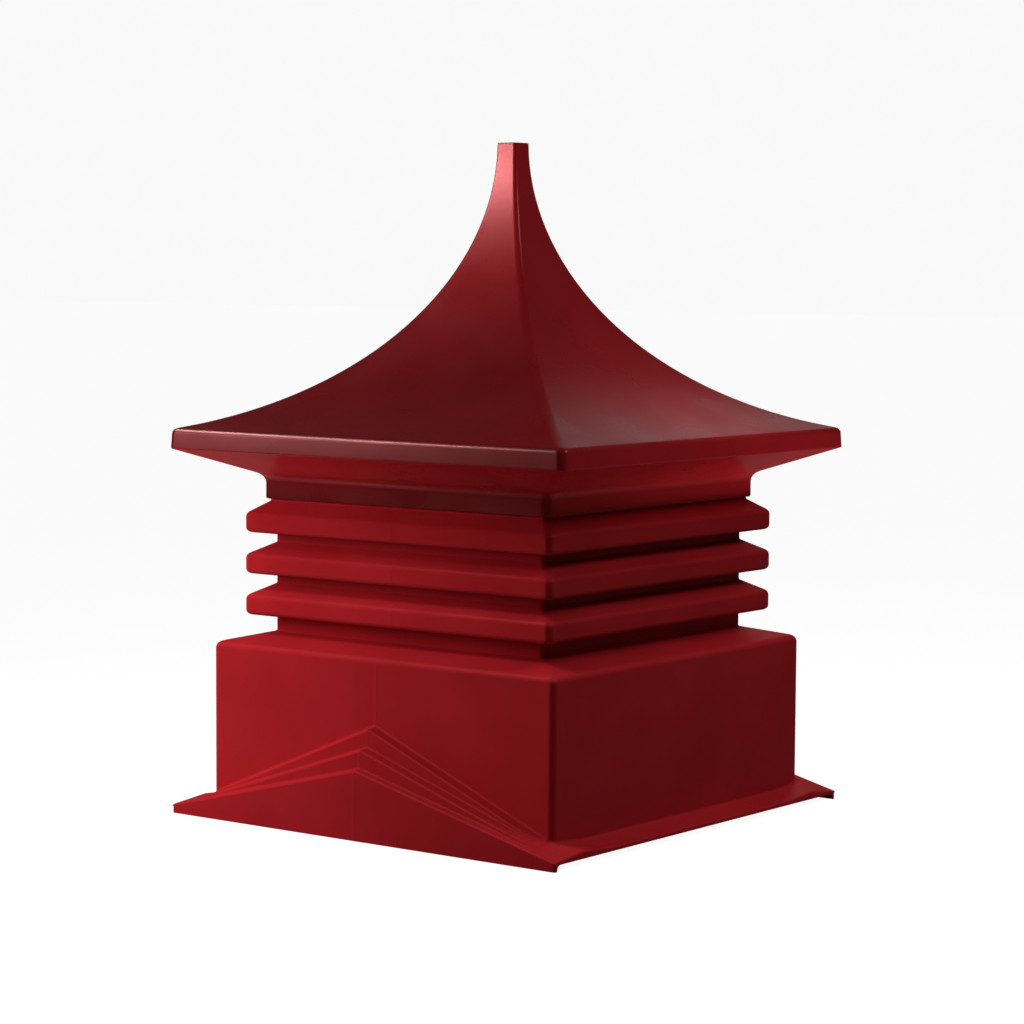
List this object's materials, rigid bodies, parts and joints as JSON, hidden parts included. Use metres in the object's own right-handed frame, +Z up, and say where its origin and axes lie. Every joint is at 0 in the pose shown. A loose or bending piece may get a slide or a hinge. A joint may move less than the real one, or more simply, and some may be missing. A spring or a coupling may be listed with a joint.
{
  "type": "square roof cupola",
  "caption": "Square moulded roof cupola: a louvred body on a base with stepped trim lines for several roof pitches, under a concave four-sided spire roof.",
  "frame": {"origin": "on the vertical axis, at the level of the gable panels' lower edges", "axes": "+Z up the axis of the spire; the gable faces look along -Y (front) and +Y (back), the side flanges lie at +X and -X"},
  "size_m": [0.708, 0.71, 0.974],
  "materials": {
    "moulded_red": "semi-gloss moulded polyethylene, deep red right through, faint orange peel"
  },
  "bodies": {
    "root": {"roof_tip": "moulded_red", "roof_face_front": "moulded_red", "roof_face_right": "moulded_red", "roof_face_back": "moulded_red", "roof_face_left": "moulded_red", "fascia_front": "moulded_red", "fascia_right": "moulded_red", "fascia_back": "moulded_red", "fascia_left": "moulded_red", "soffit_front": "moulded_red", "soffit_right": "moulded_red", "soffit_back": "moulded_red", "soffit_left": "moulded_red", "neck_front": "moulded_red", "neck_right": "moulded_red", "neck_back": "moulded_red", "neck_left": "moulded_red", "collar": "moulded_red", "louvre_top": "moulded_red", "louvre_middle": "moulded_red", "louvre_bottom": "moulded_red", "throat_upper": "moulded_red", "throat_middle": "moulded_red", "throat_lower": "moulded_red", "shoulder_front": "moulded_red", "shoulder_right": "moulded_red", "shoulder_back": "moulded_red", "shoulder_left": "moulded_red", "base_wall_front": "moulded_red", "base_wall_right": "moulded_red", "base_wall_back": "moulded_red", "base_wall_left": "moulded_red", "side_flange_right": "moulded_red", "side_flange_left": "moulded_red", "upper_step_front": "moulded_red", "upper_step_back": "moulded_red", "middle_step_front": "moulded_red", "middle_step_back": "moulded_red", "gable_panel_front": "moulded_red", "gable_panel_back": "moulded_red", "flange_corner_front_right": "moulded_red", "flange_corner_back_left": "moulded_red", "flange_corner_back_right": "moulded_red", "flange_corner_front_left": "moulded_red"}
  },
  "joints": []
}
